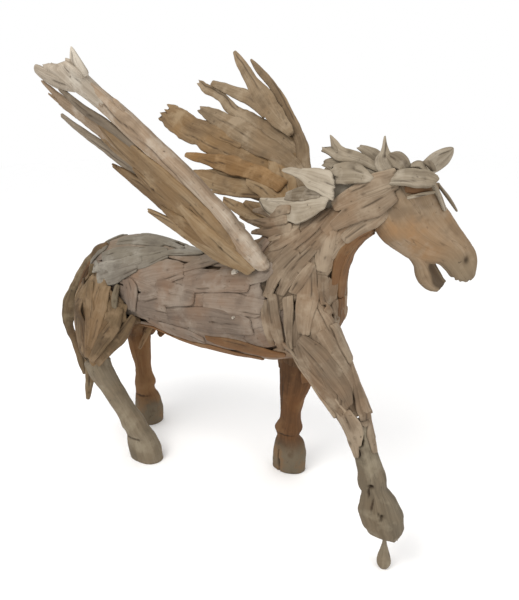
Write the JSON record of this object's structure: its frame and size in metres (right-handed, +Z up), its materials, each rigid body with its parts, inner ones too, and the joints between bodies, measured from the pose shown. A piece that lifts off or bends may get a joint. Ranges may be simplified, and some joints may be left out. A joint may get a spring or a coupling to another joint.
{
  "type": "winged driftwood horse sculpture",
  "caption": "Life-size walking horse with raised wings, built from weathered driftwood boards, staves and offcuts with a carved head and hooves.",
  "frame": {"origin": "centre of the bounding box on the ground plane under the hooves", "axes": "+X the way the horse walks, +Y its left side, +Z up"},
  "size_m": [2.1606, 1.1152, 1.9768],
  "materials": {
    "trunk_driftwood": "weathered grey-brown driftwood boards, matt, open grain and dark seams",
    "leg_stave_driftwood": "weathered brown driftwood staves, matt",
    "carved_head_wood": "carved warm brown wood, dry, matt, fine cracks",
    "carved_leg_wood": "carved grey-green brown wood, matt, with drying cracks",
    "wing_driftwood": "long sun-bleached driftwood, pale beige to tan",
    "bleached_offcut": "pale grey bleached driftwood offcuts",
    "tail_driftwood": "brown-grey curved driftwood"
  },
  "bodies": {
    "root": {"croup_top_board": "trunk_driftwood", "back_board": "trunk_driftwood", "withers_board": "trunk_driftwood", "crest_board": "trunk_driftwood", "croup_near_board": "trunk_driftwood", "rib_near_upper_board": "trunk_driftwood", "neck_near_board": "trunk_driftwood", "hip_near_board": "trunk_driftwood", "rib_near_rear_board": "trunk_driftwood", "rib_near_front_board": "trunk_driftwood", "gullet_near_board": "trunk_driftwood", "groin_board": "trunk_driftwood", "belly_board": "trunk_driftwood", "throat_board": "trunk_driftwood", "hip_far_board": "trunk_driftwood", "rib_far_board": "trunk_driftwood", "gullet_far_board": "trunk_driftwood", "croup_far_board": "trunk_driftwood", "rib_far_upper_board": "trunk_driftwood", "neck_far_board": "trunk_driftwood", "head": "carved_head_wood", "near_fore_lower_leg": "carved_leg_wood", "far_fore_lower_leg": "carved_leg_wood", "near_hind_lower_leg": "carved_leg_wood", "far_hind_lower_leg": "carved_leg_wood", "near_forearm": "leg_stave_driftwood", "far_forearm": "leg_stave_driftwood", "near_thigh": "leg_stave_driftwood", "far_thigh": "leg_stave_driftwood", "support_peg": "carved_leg_wood", "near_ear": "bleached_offcut", "far_ear": "bleached_offcut", "forelock_stick_1": "bleached_offcut", "forelock_stick_2": "bleached_offcut", "mane_offcut_1": "bleached_offcut", "mane_offcut_2": "bleached_offcut", "mane_offcut_3": "bleached_offcut", "mane_offcut_4": "bleached_offcut", "mane_offcut_5": "bleached_offcut", "mane_offcut_6": "bleached_offcut", "near_wing_log": "wing_driftwood", "near_wing_feather_1": "wing_driftwood", "near_wing_feather_2": "wing_driftwood", "near_wing_feather_3": "wing_driftwood", "near_wing_feather_4": "wing_driftwood", "near_wing_feather_5": "wing_driftwood", "far_wing_leader": "wing_driftwood", "far_wing_forked_board": "wing_driftwood", "far_wing_feather_1": "wing_driftwood", "far_wing_feather_2": "wing_driftwood", "far_wing_feather_3": "wing_driftwood", "far_wing_feather_4": "wing_driftwood", "far_wing_feather_5": "wing_driftwood", "tail_strand_1": "tail_driftwood", "tail_strand_2": "tail_driftwood", "tail_strand_3": "tail_driftwood", "tail_strand_4": "tail_driftwood"}
  },
  "joints": []
}
